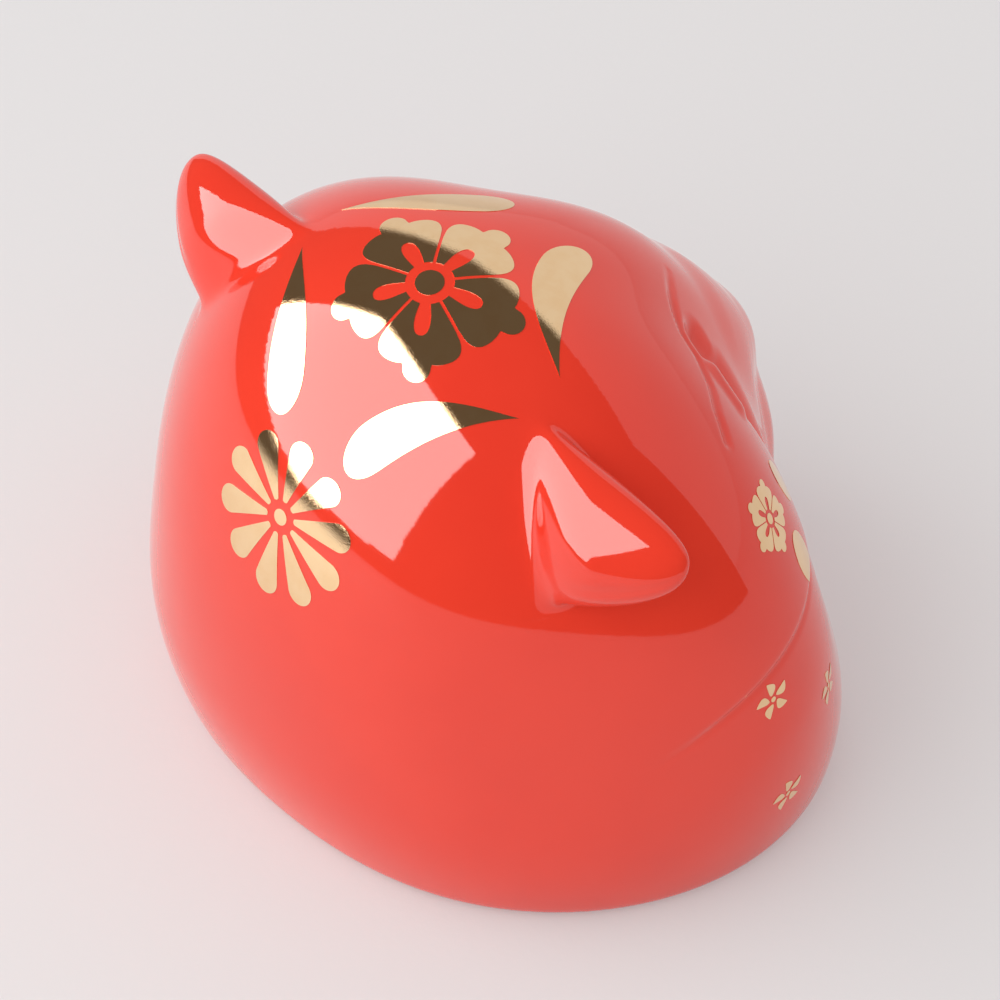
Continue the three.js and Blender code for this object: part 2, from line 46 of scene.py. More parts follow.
class Strand:
    def __init__(self, tree, socket=None):
        self.tree = tree
        self.socket = socket

    def node(self, kind, settings=None, out=0, **sockets):
        made = self.tree.nodes.new(kind)
        for name, value in (settings or {}).items():
            setattr(made, name, value)
        for name, value in sockets.items():
            key = int(name[1:]) if name[0] == "i" and name[1:].isdigit() else name.replace("_", " ")
            if isinstance(value, Strand):
                self.tree.links.new(value.socket, made.inputs[key])
            else:
                made.inputs[key].default_value = value
        return Strand(self.tree, made.outputs[out] if len(made.outputs) else None)

    def math(self, operation, first, second):
        return self.node("ShaderNodeMath", {"operation": operation}, i0=first, i1=second)

    def __add__(self, other):
        return self.math("ADD", self, other)

    def __radd__(self, other):
        return self.math("ADD", other, self)

    def __mul__(self, other):
        return self.math("MULTIPLY", self, other)

    def __rmul__(self, other):
        return self.math("MULTIPLY", other, self)

    def ramp(self, low, high):
        return self.node("ShaderNodeMapRange", {"interpolation_type": "SMOOTHSTEP"},
                         i0=self, i1=low, i2=high, i3=0.0, i4=1.0)

    def between(self, low, high):
        return self.node("ShaderNodeMix", {"data_type": "RGBA"}, out=2, i0=self, i6=low, i7=high)


def newMaterial(name):
    material = bpy.data.materials.new(name)
    material.use_nodes = True
    material.node_tree.nodes.clear()
    return material, Strand(material.node_tree)


def noise(start, coords, scale, detail, rough=0.5):
    return start.node("ShaderNodeTexNoise", Vector=coords, Scale=scale, Detail=detail, Roughness=rough)


def bump(start, height):
    return start.node("ShaderNodeBump", Height=height, Distance=mm, Strength=1.0)


def surface(start, shader):
    start.node("ShaderNodeOutputMaterial", Surface=shader)


def clouded(look, cloud):
    return cloud.ramp(*look["cloud"]).between(look["light"], look["deep"])


def hazy(look, cloud):
    return cloud * look["haze"] + (look["roughness"] - look["haze"] / 2)


glaze = dict(light=(0.85, 0.048, 0.023, 1), deep=(0.79, 0.040, 0.020, 1), cloud=(0.35, 0.7), poolScale=26,
             roughness=0.045, haze=0.02, hazeScale=90, ior=1.58,
             peelScale=1100, peelDepth=0.0015, waveScale=60, waveDepth=0.010)


def makeGlaze():
    material, start = newMaterial("redGlaze")
    coords = start.node("ShaderNodeTexCoord", out=3)
    pool = noise(start, coords, glaze["poolScale"], 3)
    haze = noise(start, coords, glaze["hazeScale"], 4)
    peel = noise(start, coords, glaze["peelScale"], 1)
    wave = noise(start, coords, glaze["waveScale"], 1)
    rippled = bump(start, peel * glaze["peelDepth"] + wave * glaze["waveDepth"])
    surface(start, start.node("ShaderNodeBsdfPrincipled", Base_Color=clouded(glaze, pool), IOR=glaze["ior"],
                              Roughness=hazy(glaze, haze), Normal=rippled))
    return material


gold = dict(light=(0.93, 0.66, 0.39, 1), deep=(0.91, 0.62, 0.35, 1), cloud=(0.35, 0.7), cloudScale=320,
            roughness=0.045, haze=0.03, grainScale=5200, grainDepth=0.006)


def makeGold():
    material, start = newMaterial("firedGold")
    coords = start.node("ShaderNodeTexCoord", out=3)
    cloud = noise(start, coords, gold["cloudScale"], 4, 0.6)
    grain = noise(start, coords, gold["grainScale"], 2, 0.6)
    grained = bump(start, grain * gold["grainDepth"])
    surface(start, start.node("ShaderNodeBsdfPrincipled", Base_Color=clouded(gold, cloud), Metallic=1.0,
                              Roughness=hazy(gold, cloud), Normal=grained))
    return material


biscuit = dict(light=(0.72, 0.69, 0.64, 1), deep=(0.62, 0.57, 0.50, 1), cloud=(0.4, 0.75), stainScale=140,
               roughness=0.62, haze=0.1, grainScale=2200, grainDepth=0.03)


def makeBiscuit():
    material, start = newMaterial("bareBiscuit")
    coords = start.node("ShaderNodeTexCoord", out=3)
    stain = noise(start, coords, biscuit["stainScale"], 5, 0.6)
    grain = noise(start, coords, biscuit["grainScale"], 2)
    grained = bump(start, grain * biscuit["grainDepth"])
    surface(start, start.node("ShaderNodeBsdfPrincipled", Base_Color=clouded(biscuit, stain),
                              Roughness=hazy(biscuit, stain), Normal=grained))
    return material


redGlaze = makeGlaze()
firedGold = makeGold()
bareBiscuit = makeBiscuit()
print("materials made")


# handling of objects and meshes

def deselectAll():
    for other in bpy.context.selected_objects:
        other.select_set(False)


def pick(thing):
    deselectAll()
    thing.select_set(True)
    bpy.context.view_layer.objects.active = thing


def getPoints(thing):
    flat = np.zeros(len(thing.data.vertices) * 3)
    thing.data.vertices.foreach_get("co", flat)
    return flat.reshape(-1, 3)


def setPoints(thing, points):
    thing.data.vertices.foreach_set("co", np.asarray(points, float).ravel())
    thing.data.update()


def applyModifier(thing, kind, **settings):
    pick(thing)
    modifier = thing.modifiers.new(kind.lower(), kind)
    for name, value in settings.items():
        setattr(modifier, name, value)
    bpy.ops.object.modifier_apply(modifier=modifier.name)


def inEdit(thing, work):
    pick(thing)
    bpy.ops.object.mode_set(mode="EDIT")
    bpy.ops.mesh.select_all(action="SELECT")
    work()
    bpy.ops.object.mode_set(mode="OBJECT")


def inFaces(thing, chosen, work):
    pick(thing)
    bpy.ops.object.mode_set(mode="EDIT")
    bpy.ops.mesh.select_mode(type="FACE")
    bpy.ops.mesh.select_all(action="DESELECT")
    bpy.ops.object.mode_set(mode="OBJECT")
    thing.data.polygons.foreach_set("select", chosen)
    bpy.ops.object.mode_set(mode="EDIT")
    work()
    bpy.ops.mesh.select_mode(type="VERT")
    bpy.ops.object.mode_set(mode="OBJECT")


def faceCentres(thing):
    flat = np.zeros(len(thing.data.polygons) * 3)
    thing.data.polygons.foreach_get("center", flat)
    return flat.reshape(-1, 3)


def addCube(name, divisions):
    deselectAll()
    bpy.ops.mesh.primitive_cube_add(size=2)
    thing = bpy.context.object
    thing.name = name
    for cuts in divisions:
        inEdit(thing, lambda: bpy.ops.mesh.subdivide(number_cuts=cuts - 1))
    return thing


def addGrid(name, columns, rows):
    deselectAll()
    bpy.ops.mesh.primitive_grid_add(x_subdivisions=columns, y_subdivisions=rows, size=2)
    thing = bpy.context.object
    thing.name = name
    share = (getPoints(thing) + 1) / 2
    return thing, share[:, 0], share[:, 1]


def weldPoints():
    bpy.ops.mesh.remove_doubles(threshold=0.001 * mm)


def smooth(thing, degrees=40):
    pick(thing)
    bpy.ops.object.shade_smooth_by_angle(angle=math.radians(degrees))


def finishPiece(thing, material, slot, *nodes):
    if not thing.data.materials:
        thing.data.materials.append(material)
    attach(thing, "root")
    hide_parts(*nodes)


# skin of the body: a dome with the face's relief, in millimetres

body = dict(halfLength=44, halfWidth=52.4, height=81.5, belt=20, setback=9.3, pinchLow=3, pinchHigh=12,
            pinchFrom=2, pinchTo=34, swell=0.5, wall=4, footRound=3, footTrim=0.5, pourHole=18,
            divisions=(10, 10), cavityDivisions=(5, 6), holeSides=96, holeDepth=16,
            bareHeight=0.3, bareTilt=-0.98)
face = dict(swells=((1.5, 58, -1.0, 9), (10, 72, 0.3, 10), (12.4, 39.6, -1.2, 5), (14.5, 22, -1.2, 8)),
            bridgeTop=(0, 48, 10.6), bridgeTip=(0, 41, 8.2), bridgeRadius=6.6, bridgeFlat=1.5, bridgeBlend=6,
            slotTop=(18.6, 63.4, -2.4), slotTip=(25, 58, -2.5), slotRadius=3.2, slotBlend=1.6,
            furrowTop=(22.5, 58, -2.0), furrowTip=(27, 47, -2.4), furrowRadius=3.6, furrowBlend=2.5,
            brow=((8.5, 66.0, -1.15), (10.5, 66.5, -0.85), (12.5, 66.7, -0.62), (15.1, 66.6, -0.42),
                  (17.8, 66.3, -0.3), (21.3, 64.8, -0.3), (25.7, 64.2, -0.4), (29, 64.3, -0.5),
                  (33.1, 62.8, -0.7)),
            browRadius=0.6, browBlend=0.8,
            lidIn=(21.8, 61.2, 1.2), lidOut=(26, 57.4, 1.2), lidRadius=1.4, lidBlend=1.6,
            puff=(6.8, 29.6, 11.6), puffRadii=(10.0, 8.0, 7.2), puffBlend=4,
            chin=(0, 14, 6.6), chinRadii=(7, 6.4, 6), chinBlend=3,
            nose=(0, 39.6, 5.5), noseRadii=(7.4, 6.4, 4.6), noseBlend=4,
            mouth=((0, 35, -0.3), (0, 31, -0.3), (3.4, 25.2, -0.3), (7.6, 23, -0.3), (12, 24.2, -0.6)),
            mouthRadius=0.75, mouthBlend=0.7, reliefEnd=12,
            fineBack=-3, fineHalf=38, fineLow=12, fineHigh=70)
leg = dict(creaseHeight=40.7, creaseFront=-16, creaseFall=112, creaseWidth=0.75, creaseDepth=0.32,
           step=0.4, stepHalf=0.6, stepFade=(2, 14), fade=(6, 19), side=(24, 36),
           fineSide=34, fineHalf=22, fineLow=24, fineHigh=45)
search = dict(front=-90.0, far=120.0, start=118, steps=60, halvings=24, frontHalvings=40,
              tiny=1e-4, probe=0.15)


def unit(vector):
    return vector / np.linalg.norm(vector, axis=-1, keepdims=True)


def softUnion(a, b, blend):
    h = np.maximum(blend - np.abs(a - b), 0) / blend
    return np.minimum(a, b) - h * h * blend / 4


def softCut(a, b, blend):
    return -softUnion(-a, b, blend)


def ease(low, high, value):
    t = np.clip((value - low) / (high - low), 0, 1)
    return t * t * (3 - 2 * t)


def planRadius(turn, height, fullness):
    mean = (body["halfLength"] + body["halfWidth"]) / 2
    oval = (body["halfLength"] - body["halfWidth"]) / 2
    grow = ease(body["pinchFrom"], body["pinchTo"], height)
    pinch = body["pinchLow"] + (body["pinchHigh"] - body["pinchLow"]) * grow
    front = (1 + np.cos(turn)) / 2
    corner = np.sin(2 * turn) ** 2 * fullness
    return mean + oval * np.cos(2 * turn) - corner * (pinch * front - body["swell"] * (1 - front))


def domeDistance(x, y, z):
    rise = (z - body["belt"]) / (body["height"] - body["belt"])
    back = y - body["setback"] * rise * np.abs(rise)
    radius = planRadius(np.arctan2(x, -back), z, np.sqrt(np.maximum(1 - rise * rise, 0)))
    across = np.hypot(x, back)
    share = np.hypot(across / radius, rise)
    return np.hypot(across, z - body["belt"]) * (1 - 1 / np.maximum(share, search["tiny"]))


def onFront(place):
    across, height, depth = place
    outside, inside = search["front"], 0.0
    for _ in range(search["frontHalvings"]):
        middle = (outside + inside) / 2
        if domeDistance(across, middle, height) > 0:
            outside = middle
        else:
            inside = middle
    return np.array((across, inside + depth, height))


def capsule(x, y, z, a, b, radius, flat=1.0):
    p = np.stack([x / flat, y, z], -1) - a
    d = b - a
    along = np.clip(p @ d / (d @ d), 0, 1)
    return np.linalg.norm(p - along[..., None] * d, axis=-1) - radius


def ellipsoid(x, y, z, centre, radii):
    p = np.stack([x, y, z], -1) - centre
    share = np.linalg.norm(p / np.array(radii), axis=-1)
    return np.linalg.norm(p, axis=-1) * (1 - 1 / np.maximum(share, search["tiny"]))


facePoints = {name: onFront(face[name]) for name in
              ("bridgeTop", "bridgeTip", "slotTop", "slotTip", "furrowTop", "furrowTip", "lidIn", "lidOut",
               "puff", "chin", "nose")}
lines = {name: [onFront(point) for point in face[name]] for name in ("brow", "mouth")}
swells = [(onFront((across, height, 0)), rise, spread) for across, height, rise, spread in face["swells"]]


def grooveDistance(x, y, z, name):
    points = lines[name]
    return np.min([capsule(x, y, z, a, b, face[name + "Radius"]) for a, b in zip(points, points[1:])], axis=0)


def faceRelief(x, y, z, d):
    at = facePoints
    for centre, rise, spread in swells:
        away = np.linalg.norm(np.stack([x, y, z], -1) - centre, axis=-1)
        d = d - rise * np.exp(-(away / spread) ** 2)
    bridge = capsule(x, y, z, at["bridgeTop"], at["bridgeTip"], face["bridgeRadius"], face["bridgeFlat"])
    d = softUnion(d, bridge, face["bridgeBlend"])
    furrow = capsule(x, y, z, at["furrowTop"], at["furrowTip"], face["furrowRadius"])
    d = softCut(d, furrow, face["furrowBlend"])
    slot = capsule(x, y, z, at["slotTop"], at["slotTip"], face["slotRadius"])
    d = softCut(d, slot, face["slotBlend"])
    d = softCut(d, grooveDistance(x, y, z, "brow"), face["browBlend"])
    lid = capsule(x, y, z, at["lidIn"], at["lidOut"], face["lidRadius"])
    d = softUnion(d, lid, face["lidBlend"])
    d = softUnion(d, ellipsoid(x, y, z, at["chin"], face["chinRadii"]), face["chinBlend"])
    d = softUnion(d, ellipsoid(x, y, z, at["puff"], face["puffRadii"]), face["puffBlend"])
    d = softUnion(d, ellipsoid(x, y, z, at["nose"], face["noseRadii"]), face["noseBlend"])
    return softCut(d, grooveDistance(x, y, z, "mouth"), face["mouthBlend"])


def skinDistance(p):
    x, y, z = np.abs(p[:, 0]), p[:, 1], p[:, 2]
    d = domeDistance(x, y, z)
    front = y < face["reliefEnd"]
    d[front] = faceRelief(x[front], y[front], z[front], d[front])
    below = leg["creaseHeight"] - (y - leg["creaseFront"]) ** 2 / leg["creaseFall"] - z
    shown = (1 - ease(*leg["fade"], y)) * ease(*leg["side"], x)
    groove = leg["creaseDepth"] * np.exp(-(below / leg["creaseWidth"]) ** 2)
    shelf = leg["step"] * ease(-leg["stepHalf"], leg["stepHalf"], below) * (1 - ease(*leg["stepFade"], below))
    d = d + shown * (groove + shelf)
    return softCut(d, z + body["footTrim"], body["footRound"])


def cavityDistance(p):
    return softCut(skinDistance(p) + body["wall"], p[:, 2] - body["wall"], body["footRound"])


heart = np.array((0, 0, body["belt"]), float)


def leavePoints(aims, distance):
    aims = unit(aims)
    outside = np.full(len(aims), search["far"])
    inside = outside.copy()
    seeking = np.arange(len(aims))
    for reach in np.linspace(search["start"], 0, search["steps"]):
        inside[seeking] = reach
        hit = distance(heart + aims[seeking] * reach) <= 0
        seeking = seeking[~hit]
        outside[seeking] = reach
        if not len(seeking):
            break
    for _ in range(search["halvings"]):
        middle = (outside + inside) / 2
        out = distance(heart + aims * middle[:, None]) > 0
        outside = np.where(out, middle, outside)
        inside = np.where(out, inside, middle)
    return heart + aims * inside[:, None]


def onSkin(points):
    return leavePoints(np.asarray(points, float) - heart, skinDistance)


def slopeOf(field, points, probe):
    return np.stack([field(points + s) - field(points - s) for s in np.eye(3) * probe], -1) / (2 * probe)


def skinNormals(points):
    return unit(slopeOf(skinDistance, points, search["probe"]))


# a cube's points, spread evenly over the sphere and drawn out to the skin
def blowUp(thing, distance):
    return leavePoints(np.tan(getPoints(thing) * math.pi / 4), distance)


# body shell

shell = addCube("bodyShell", body["divisions"])
setPoints(shell, blowUp(shell, skinDistance))
across, deep, tall = faceCentres(shell).T
onFace = (deep < face["fineBack"]) & (np.abs(across) < face["fineHalf"])
onFace &= (tall > face["fineLow"]) & (tall < face["fineHigh"])
onLeg = (np.abs(across) > leg["fineSide"]) & (np.abs(deep) < leg["fineHalf"])
onLeg &= (tall > leg["fineLow"]) & (tall < leg["fineHigh"])
inFaces(shell, onFace | onLeg, lambda: bpy.ops.mesh.subdivide(number_cuts=1))
skin = onSkin(getPoints(shell))
middle = (skin[:, 1].min() + skin[:, 1].max()) / 2
shift = np.array((0, -middle, 0))


def toFrame(points):
    return (points + shift) * mm


setPoints(shell, toFrame(skin))
inEdit(shell, lambda: bpy.ops.mesh.bisect(plane_co=(0, 0, 0), plane_no=(0, 0, 1), use_fill=True,
                                          clear_inner=True, threshold=1e-7))
shell.data.materials.append(redGlaze)
shell.data.materials.append(bareBiscuit)
for polygon in shell.data.polygons:
    if polygon.normal.z < body["bareTilt"] and polygon.center.z < body["bareHeight"] * mm:
        polygon.material_index = 1
cavity = addCube("cavityCore", body["cavityDivisions"])
setPoints(cavity, toFrame(blowUp(cavity, cavityDistance)))
deselectAll()
bpy.ops.mesh.primitive_cylinder_add(vertices=body["holeSides"], radius=body["pourHole"] / 2 * mm,
                                    depth=body["holeDepth"] * mm, location=(0, shift[1] * mm, 0))
hole = bpy.context.object
for core in (cavity, hole):
    core.data.materials.append(bareBiscuit)
    applyModifier(shell, "BOOLEAN", operation="DIFFERENCE", object=core, solver="EXACT",
                  material_mode="TRANSFER")
    bpy.data.objects.remove(core)
smooth(shell, 60)
finishPiece(shell, redGlaze, "red_glaze", "body_shell")
print("body shell:", len(shell.data.polygons), "faces")


# ears: a leaf with a full back and a cupped front, grown out of the skin with a tight fillet

ear = dict(tip=(47.41, 13.02, 69.57), inner=(24.54, 12.52, 74.13), outer=(35.41, 19.04, 56.84), half=6.0,
           setBack=1.55, curl=-2.4, lean=0.69, taper=0.49, arch=0.2,
           neck=0.5, neckRise=(-0.25, 0.42), squareness=1.9,
           cup=(6.2, 2.0, -5.4), cupRadii=(7.0, 7.5, 3.6), cupBlend=1.5, blend=1.7,
           twist=-2.17, roll=0.11, pivot=(0, 14, 65), foldPlace=0.72, foldWidth=0.1, foldDepth=0.07,
           foldBack=(0, 0.3), foldRise=(0.1, 0.4), slimmest=0.02, rootRise=(-0.7, 0.9), halvings=30,
           around=144, rows=90, skirtRows=30, skirt=3.4, shoulder=3.0, probe=0.05, leastSlope=0.05,
           settleRounds=8, leastPull=0.2, tuck=0.04, tuckOver=0.5)
earEnds = np.array((ear["inner"], ear["outer"]))
earRoot = earEnds.mean(0)
earHalf = np.linalg.norm(earEnds[1] - earEnds[0]) / 2
earDown = unit(earEnds[1] - earEnds[0])
earReach = np.array(ear["tip"]) - earRoot
earDrop = earReach @ earDown
earReach = earReach - earDown * earDrop
earLength = np.linalg.norm(earReach)
earOut = earReach / earLength
earBack = np.cross(earOut, earDown)


def turnAbout(degrees, first, second):
    angle = math.radians(degrees)
    turn = np.eye(3)
    turn[first, first] = turn[second, second] = math.cos(angle)
    turn[second, first] = math.sin(angle)
    turn[first, second] = -math.sin(angle)
    return turn


pairTurn = turnAbout(ear["twist"], 0, 1) @ turnAbout(ear["roll"], 0, 2)


# the pair of ears sits a little askew on the head, so each side is turned about the same pivot
def toHead(points, side):
    return (points * (side, 1, 1) - ear["pivot"]) @ pairTurn.T + ear["pivot"]


def toEar(points, side):
    return ((points - ear["pivot"]) @ pairTurn + ear["pivot"]) * (side, 1, 1)


def earSection(rise):
    one = np.maximum(1 - rise, 0)
    slim = one ** ear["taper"]
    middle = earDrop * rise + earHalf * ear["arch"] * (slim - one) * (rise > 0)
    thick = ear["half"] * (1 - ear["neck"] * (1 - ease(*ear["neckRise"], rise)))
    sway = ear["setBack"] + ear["curl"] * rise * np.abs(rise)
    return one, slim, middle, thick, sway


def roughEar(turn, rise):
    one, slim, middle, thick, sway = earSection(rise)
    power = 2 / ear["squareness"]
    across, through = np.cos(turn), np.sin(turn)
    v = middle + earHalf * slim * np.sign(across) * np.abs(across) ** power
    w = sway + ear["lean"] * v / earHalf * one + thick * slim * np.sign(through) * np.abs(through) ** power
    return earRoot + earOut * (earLength * rise)[:, None] + earDown * v[:, None] + earBack * w[:, None]


def earLevel(points):
    r = points - earRoot
    rise, v, w = r @ earOut / earLength, r @ earDown, r @ earBack
    one, slim, middle, thick, sway = earSection(rise)
    across = (v - middle) / earHalf
    through = (w - sway - ear["lean"] * v / earHalf * one) / thick
    fold = np.exp(-((across / np.maximum(slim, ear["slimmest"]) - ear["foldPlace"]) / ear["foldWidth"]) ** 2)
    fold = ear["foldDepth"] * fold * ease(*ear["foldBack"], through) * ease(*ear["foldRise"], rise)
    power = ear["squareness"]
    level = (np.abs(across) ** power + np.abs(through / (1 - fold)) ** power) ** (2 / power)
    return level - slim ** 2 + 2 * np.maximum(rise - 1, 0)


def earDistance(points):
    steep = np.linalg.norm(slopeOf(earLevel, points, ear["probe"]), axis=1)
    d = earLevel(points) / np.maximum(steep, ear["leastSlope"])
    r = points - earRoot
    cup = ellipsoid(r @ earOut, r @ earDown, r @ earBack, np.array(ear["cup"]), ear["cupRadii"])
    return softCut(d, cup, ear["cupBlend"])


def makeEar(name, side, node):
    thing, turnShare, rowShare = addGrid(name, ear["around"], ear["rows"])
    column = np.round(turnShare * ear["around"]).astype(int) % ear["around"]
    row = np.round(rowShare * ear["rows"]).astype(int)
    turns = 2 * math.pi * np.arange(ear["around"]) / ear["around"]
    low, high = (np.full(len(turns), end) for end in ear["rootRise"])
    for _ in range(ear["halvings"]):
        middleRise = (low + high) / 2
        inside = skinDistance(toHead(roughEar(turns, middleRise), side)) < 0
        low = np.where(inside, middleRise, low)
        high = np.where(inside, high, middleRise)
    crossing = toHead(roughEar(turns, low), side)
    ringWay = np.roll(crossing, -1, 0) - np.roll(crossing, 1, 0)
    apart = unit(np.cross(ringWay, skinNormals(crossing)))
    apart *= np.sign((apart * (crossing - crossing.mean(0))).sum())
    feet = onSkin(crossing + apart * ear["skirt"])
    start = low + ear["shoulder"] / earLength
    shoulder = toHead(roughEar(turns, start), side)
    v = np.clip(row / ear["skirtRows"], 0, 1)[:, None]
    skirt = feet[column] * (1 - v) ** 2 + crossing[column] * 2 * v * (1 - v) + shoulder[column] * v ** 2
    w = np.clip((row - ear["skirtRows"]) / (ear["rows"] - ear["skirtRows"]), 0, 1)
    rise = start[column] + (1 - start[column]) * np.sin(w * math.pi / 2)
    blade = toHead(roughEar(turns[column], rise), side)
    points = np.where((row <= ear["skirtRows"])[:, None], skirt, blade)

    def grown(p):
        a, b = skinDistance(p), earDistance(toEar(p, side))
        h = np.maximum(ear["blend"] - np.abs(a - b), 0) / ear["blend"]
        return np.minimum(a, b) - h ** 3 * ear["blend"] / 6

    for _ in range(ear["settleRounds"]):
        slope = slopeOf(grown, points, ear["probe"])
        points = points - slope * (grown(points) / np.maximum((slope ** 2).sum(1), ear["leastPull"]))[:, None]
    clear = earDistance(toEar(points, side)) - skinDistance(points) - ear["blend"]
    points -= skinNormals(points) * (ear["tuck"] * ease(0, ear["tuckOver"], clear))[:, None]
    setPoints(thing, toFrame(points))

    def closeUp():
        weldPoints()
        bpy.ops.mesh.select_all(action="DESELECT")
        bpy.ops.mesh.select_non_manifold()
        bpy.ops.mesh.edge_face_add()
        bpy.ops.mesh.select_all(action="SELECT")
        bpy.ops.mesh.normals_make_consistent(inside=False)

    inEdit(thing, closeUp)
    smooth(thing, 60)
    finishPiece(thing, redGlaze, "red_glaze", node)


makeEar("leftEarLeaf", 1, "left_ear")
makeEar("rightEarLeaf", -1, "right_ear")
print("ears made")


# fired gold: flat outlines draped over the skin and given their thickness

film = dict(sunk=0.02, thickness=0.08, discSides=48, discRings=8)


def placeOn(position, towards, side=1):
    origin = onSkin([np.array(position) * (side, 1, 1)])
    normal = skinNormals(origin)[0]
    along = np.array(towards, float)
    along = unit(along - normal * (along @ normal))
    return origin[0], along, np.cross(normal, along)


def stretched(place, towards, share):
    origin, along, aside = place
    way = unit(np.array(towards, float))
    return origin, along + way * (along @ way) * share, aside + way * (aside @ way) * share


def drape(thing, flat, place):
    origin, along, aside = place
    points = onSkin(origin + flat[0][:, None] * along + flat[1][:, None] * aside)
    normals = skinNormals(points)
    setPoints(thing, toFrame(points - normals * film["sunk"]))
    inEdit(thing, weldPoints)
    sample = thing.data.polygons[len(thing.data.polygons) // 2]
    nearest = np.argmin(((toFrame(points) - np.array(sample.center)) ** 2).sum(1))
    if np.array(sample.normal) @ normals[nearest] < 0:
        inEdit(thing, lambda: bpy.ops.mesh.flip_normals())
    applyModifier(thing, "SOLIDIFY", thickness=film["thickness"] * mm, offset=1)
    return thing


def turned(flat, angle):
    c, s = math.cos(angle), math.sin(angle)
    return flat[0] * c - flat[1] * s, flat[0] * s + flat[1] * c


def joinAll(name, things):
    pick(things[0])
    for thing in things[1:]:
        thing.select_set(True)
    bpy.ops.object.join()
    things[0].name = name
    return things[0]


def gild(thing, *nodes):
    smooth(thing)
    finishPiece(thing, firedGold, "fired_gold", *nodes)


def disc(name, radius, place):
    thing, s, t = addGrid(name, film["discSides"], film["discRings"])
    turn = 2 * math.pi * s
    return drape(thing, (radius * t * np.cos(turn), radius * t * np.sin(turn)), place)


def leaf(name, start, length, half, place, angle=0.0, bow=0.0, columns=16, rows=40):
    thing, s, t = addGrid(name, columns, rows)
    way = (1 - np.cos(math.pi * t)) / 2
    flat = start + length * way, bow * np.sin(math.pi * way) + (2 * s - 1) * half(way)
    return drape(thing, turned(flat, angle), place)


blossom = dict(place=(0.4, 12.2, 81.4), radius=13.5, petals=5, waist=0.58, shoulder=0.85, squareness=7,
               dent=0.05, dentWidth=0.28, lobePlace=0.855, lobeRadius=0.145, lobeBlend=0.05,
               slotEnd=0.55, slotHalf=0.1, slotMiddle=0.42, slotRound=2.4, eye=0.235, centre=0.14, gap=0.03,
               drawn=(0.72, -0.69, 0), stretch=0.1, columns=96, rows=24)


def petal(name, radius, place, angle):
    b = blossom
    thing, s, t = addGrid(name, b["columns"], b["rows"])
    pitch = math.pi / b["petals"]
    turn = (2 * s - 1) * pitch
    share = np.abs(turn) / pitch
    fullness = np.sqrt(np.maximum(1 - share ** b["squareness"], 0))
    dent = b["dent"] * np.exp(-(share / b["dentWidth"]) ** 2)
    shoulders = b["waist"] + (b["shoulder"] - b["waist"]) * fullness - dent
    sideways = b["lobePlace"] * np.sin(turn)
    lobe = b["lobePlace"] * np.cos(turn) + np.sqrt(np.maximum(b["lobeRadius"] ** 2 - sideways ** 2, 0))
    lobe = np.where(np.abs(sideways) < b["lobeRadius"], lobe, 0)
    outer = -softUnion(-shoulders, -lobe, b["lobeBlend"])
    reach = np.clip(np.abs(turn) * b["slotMiddle"] / b["slotHalf"], 0, 1)
    slot = b["eye"] + (b["slotEnd"] - b["eye"]) * np.sqrt(1 - reach ** b["slotRound"])
    r = slot + (outer - slot) * t
    bent = np.sign(turn) * np.maximum(np.abs(turn) - b["gap"] / 2 / r * share, 0)
    return drape(thing, turned((radius * r * np.cos(bent), radius * r * np.sin(bent)), angle), place)


crown = stretched(placeOn(blossom["place"], (0, -1, 0)), blossom["drawn"], blossom["stretch"])
for i in range(blossom["petals"]):
    made = petal(f"foreheadPetal{i + 1}", blossom["radius"], crown, 2 * math.pi * i / blossom["petals"])
    gild(made, f"forehead_petal_{i + 1}")
gild(disc("foreheadCentre", blossom["centre"] * blossom["radius"], crown), "forehead_centre")
print("forehead blossom made")

stripe = dict(width=6.4, widest=0.81, slim=1.2,
              places=(("left", "front", (21.6, 8.3, 76), (6.6, -9, 75.9), -1.5),
                      ("right", "front", (-20, 9.5, 76.8), (-4.8, -9.4, 76.1), 3),
                      ("left", "rear", (20.7, 15.3, 75.3), (5.3, 32.9, 68), 1.1),
                      ("right", "rear", (-20.4, 16, 75.3), (-5.6, 33.1, 67.1), -2.3)))


def stripeHalf(way):
    w = stripe["widest"]
    taper = np.sin(math.pi / 2 * np.clip(way / w, 0, 1)) ** stripe["slim"]
    ending = np.sqrt(np.maximum(1 - (np.maximum(way - w, 0) / (1 - w)) ** 2, 0))
    return stripe["width"] / 2 * np.minimum(taper, ending)


for sideName, which, tip, end, bow in stripe["places"]:
    tip, end = onSkin([tip, end])
    place = placeOn((tip + end) / 2, end - tip)
    length = np.linalg.norm(end - tip)
    made = leaf(f"{sideName}{which.title()}Stripe", -length / 2, length, stripeHalf, place, bow=bow)
    gild(made, f"{sideName}_{which}_stripe")
print("crown stripes made")

rosette = dict(place=(0.5, 38.3, 57.4), radius=11.8, petals=10, heart=2.3, tip=0.35, spread=0.223, bulb=1.98,
               centre=1.1)


def rosetteHalf(way):
    r = rosette
    reach = r["heart"] + (r["radius"] - r["heart"]) * way
    side = r["tip"] + r["spread"] * (reach - r["heart"])
    ending = np.sqrt(np.maximum(r["bulb"] ** 2 - (reach - r["radius"] + r["bulb"]) ** 2, 0))
    bulbStart = r["radius"] - r["bulb"] * (1 + math.sin(math.atan(r["spread"])))
    half = np.where(reach < bulbStart, side, ending)
    return np.minimum(half, np.sqrt(np.maximum(reach - r["heart"], 0)))


nape = placeOn(rosette["place"], (0, 0, 1))
for i in range(rosette["petals"]):
    angle = 2 * math.pi * i / rosette["petals"]
    made = leaf(f"napePetal{i + 1}", rosette["heart"], rosette["radius"] - rosette["heart"], rosetteHalf,
                nape, angle)
    gild(made, f"nape_petal_{i + 1}")
gild(disc("napeCentre", rosette["centre"], nape), "nape_centre")
print("nape rosette made")

